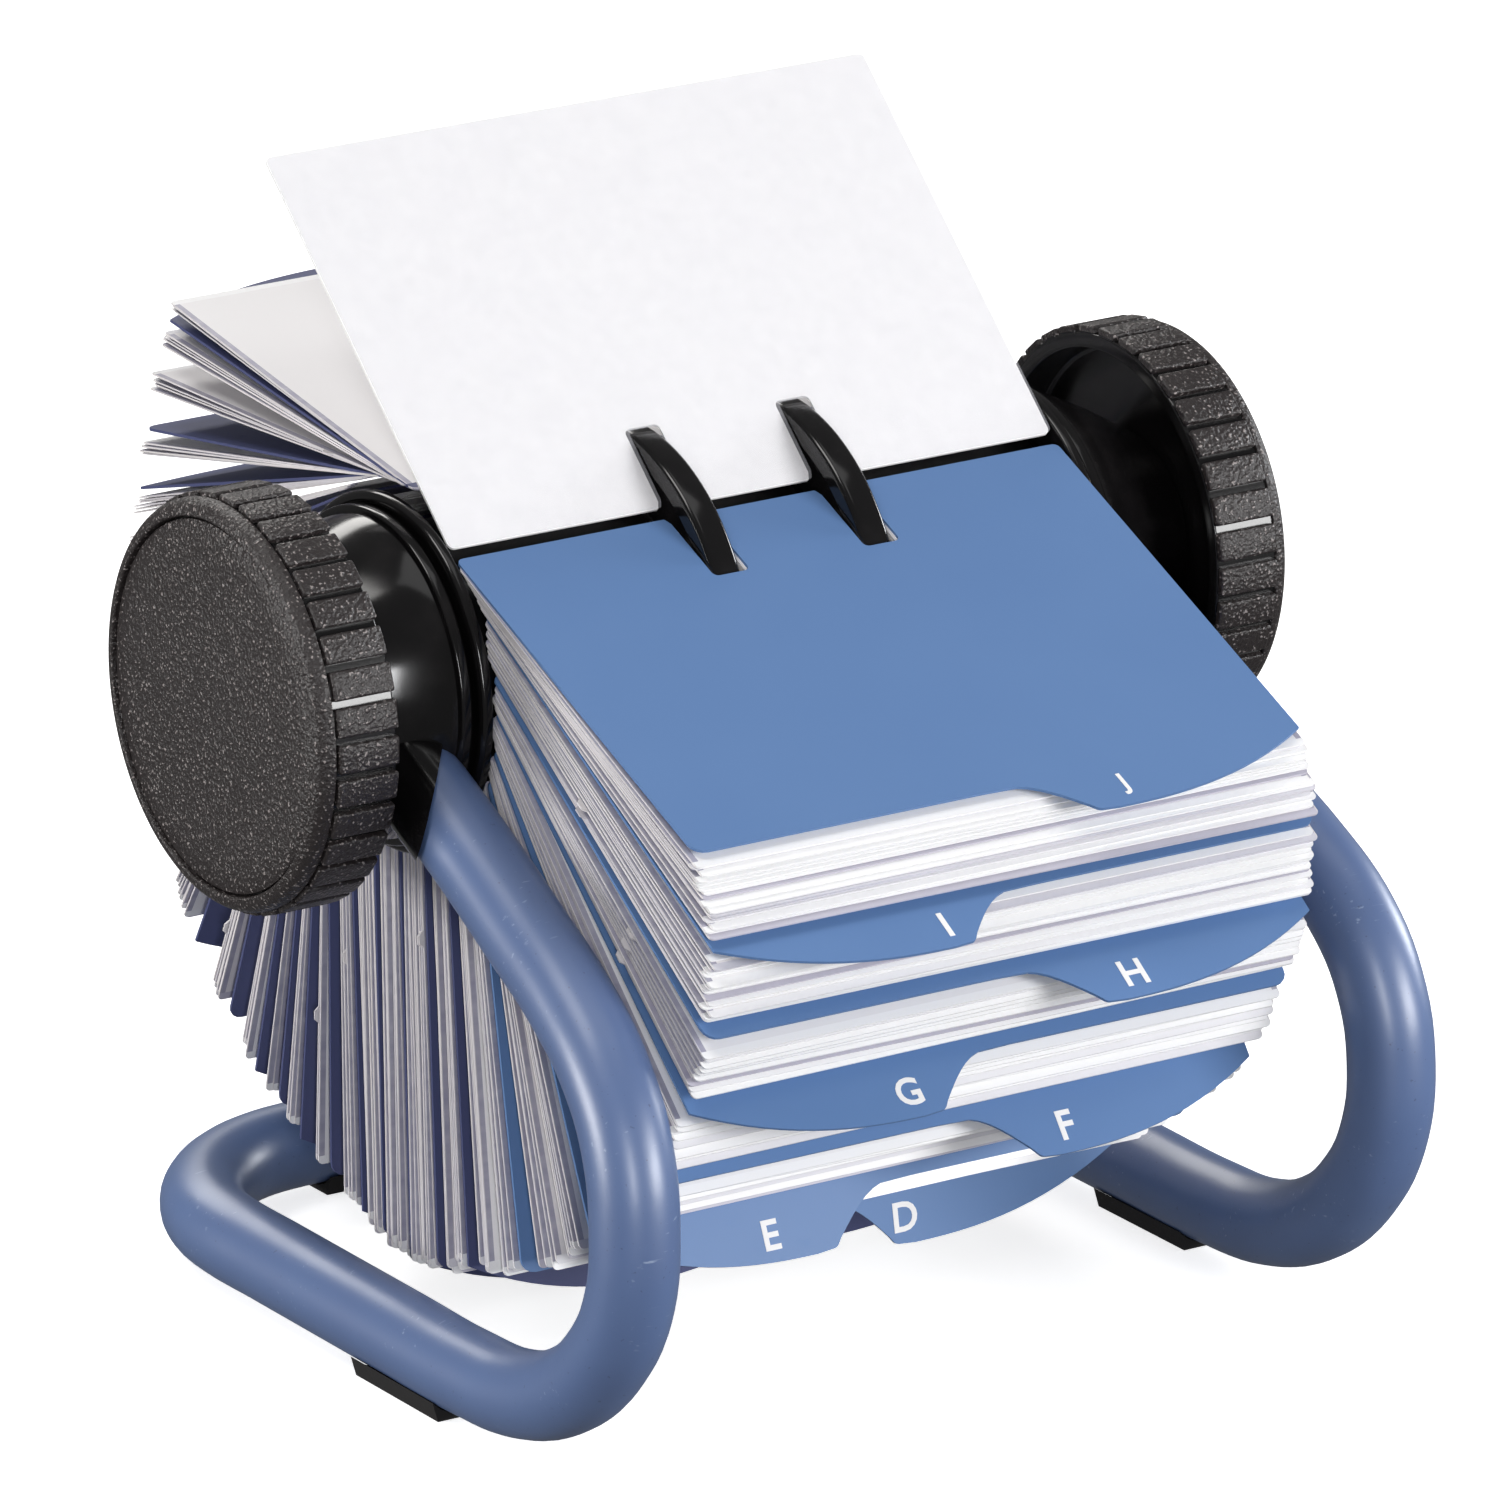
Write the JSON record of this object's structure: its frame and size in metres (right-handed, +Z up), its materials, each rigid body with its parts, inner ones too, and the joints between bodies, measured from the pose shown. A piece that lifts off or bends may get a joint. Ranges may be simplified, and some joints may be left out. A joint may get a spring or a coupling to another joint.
{
  "type": "rotary card file",
  "caption": "Desk-top rotary card file: a knob-turned wheel of card sleeves and index dividers on a bent tube frame.",
  "frame": {"origin": "on the table, under the middle of the object's width and depth", "axes": "+X along the wheel's axle from the left knob to the right one, +Y to the back, +Z up"},
  "size_m": [0.164, 0.1718, 0.1649],
  "materials": {
    "tube_paint": "satin slate blue paint",
    "pad_rubber": "matte",
    "gloss_black": "polished moulding",
    "knob_black": "fine grain",
    "drum_black": "satin",
    "white_plastic": "natural",
    "steel": "bright",
    "felt": "pressed felt",
    "divider_blue": "satin sheet",
    "card_white": "smooth card",
    "sleeve": "clear film over white card"
  },
  "bodies": {
    "frame": {"tube_frame": "tube_paint", "foot_pad_front_left": "pad_rubber", "foot_pad_front_right": "pad_rubber", "foot_pad_rear_left": "pad_rubber", "foot_pad_rear_right": "pad_rubber", "bearing_housing_left": "gloss_black", "axle_bush_left": "white_plastic", "clutch_ring_left": "felt", "clutch_spring_left": "steel", "tube_screw_left": "steel", "bearing_housing_right": "gloss_black", "axle_bush_right": "white_plastic", "clutch_ring_right": "felt", "clutch_spring_right": "steel", "tube_screw_right": "steel"},
    "wheel": {"axle": "steel", "drum_shell": "drum_black", "flange_left": "gloss_black", "rail_left": "gloss_black", "knob_left": "knob_black", "knob_cap_left": "knob_black", "knob_washer_left": "steel", "knob_screw_left": "steel", "flange_right": "gloss_black", "rail_right": "gloss_black", "knob_right": "knob_black", "knob_cap_right": "knob_black", "knob_washer_right": "steel", "knob_screw_right": "steel", "divider_J": "divider_blue", "divider_I": "divider_blue", "divider_H": "divider_blue", "divider_G": "divider_blue", "divider_F": "divider_blue", "divider_E": "divider_blue", "divider_D": "divider_blue", "divider_C": "divider_blue", "divider_B": "divider_blue", "divider_A": "divider_blue", "divider_V": "divider_blue", "divider_R": "divider_blue", "divider_N": "divider_blue", "divider_K": "divider_blue", "sleeves_J_I": "sleeve", "sleeves_I_H": "sleeve", "sleeves_H_G": "sleeve", "sleeves_G_F": "sleeve", "sleeves_F_E": "sleeve", "sleeves_E_D": "sleeve", "sleeves_D_C": "sleeve", "sleeves_C_B": "sleeve", "sleeves_B_A": "sleeve", "sleeves_A_V": "sleeve", "sleeves_V_R": "sleeve", "sleeves_R_N": "sleeve", "sleeves_N_K": "sleeve", "sleeves_top": "sleeve"},
    "raised_card": {"raised_card": "card_white", "raised_sleeve": "sleeve"}
  },
  "joints": [
    {"name": "wheel_spin", "type": "hinge", "parent": "frame", "child": "wheel", "pos_m": [0, 0.00215, 0.0981], "axis": [1, 0, 0], "continuous": true},
    {"name": "raised_card_flip", "type": "hinge", "parent": "wheel", "child": "raised_card", "pos_m": [0, -0.01116, 0.11939], "axis": [1, 0, 0], "range_deg": [0, 138]}
  ]
}
